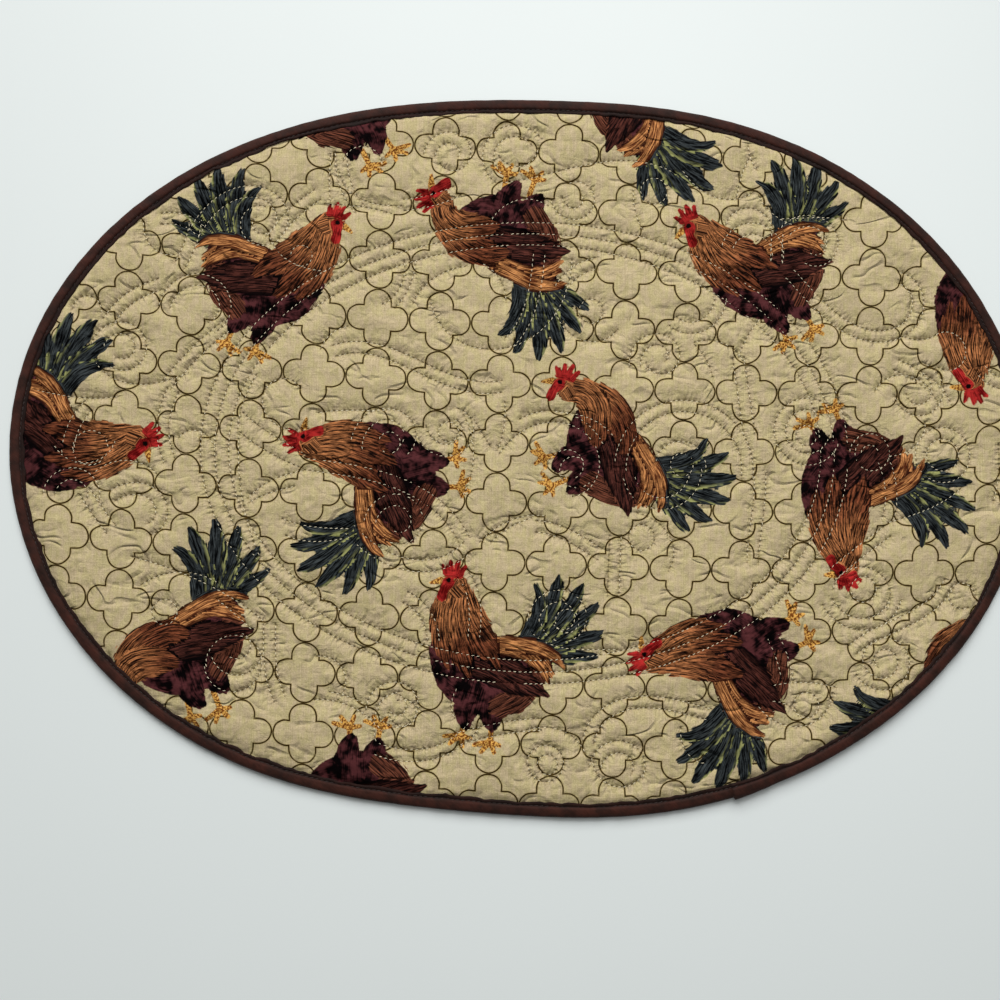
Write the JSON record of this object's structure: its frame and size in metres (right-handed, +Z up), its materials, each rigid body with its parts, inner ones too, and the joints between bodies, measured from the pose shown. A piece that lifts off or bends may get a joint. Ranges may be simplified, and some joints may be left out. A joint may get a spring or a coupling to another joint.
{
  "type": "quilted placemat",
  "caption": "Oval quilted fabric placemat lying flat: a padded panel stitched in scrolls and rings, its edge folded into a narrow cloth binding with a lapped join",
  "frame": {"origin": "centre of the bounding box at the plane the mat lies on", "axes": "+X along the oval's long axis, to the right in the picture; +Y along its short axis, to the top of the picture; +Z up out of the printed face"},
  "size_m": [0.4572, 0.3224, 0.0043],
  "materials": {
    "quilted_cotton": "matt printed cotton over thin wadding, stitched through",
    "binding_cotton": "dark brown bias-cut cotton, slight sheen"
  },
  "bodies": {
    "root": {"quilted_panel": "quilted_cotton", "binding": "binding_cotton"}
  },
  "joints": []
}
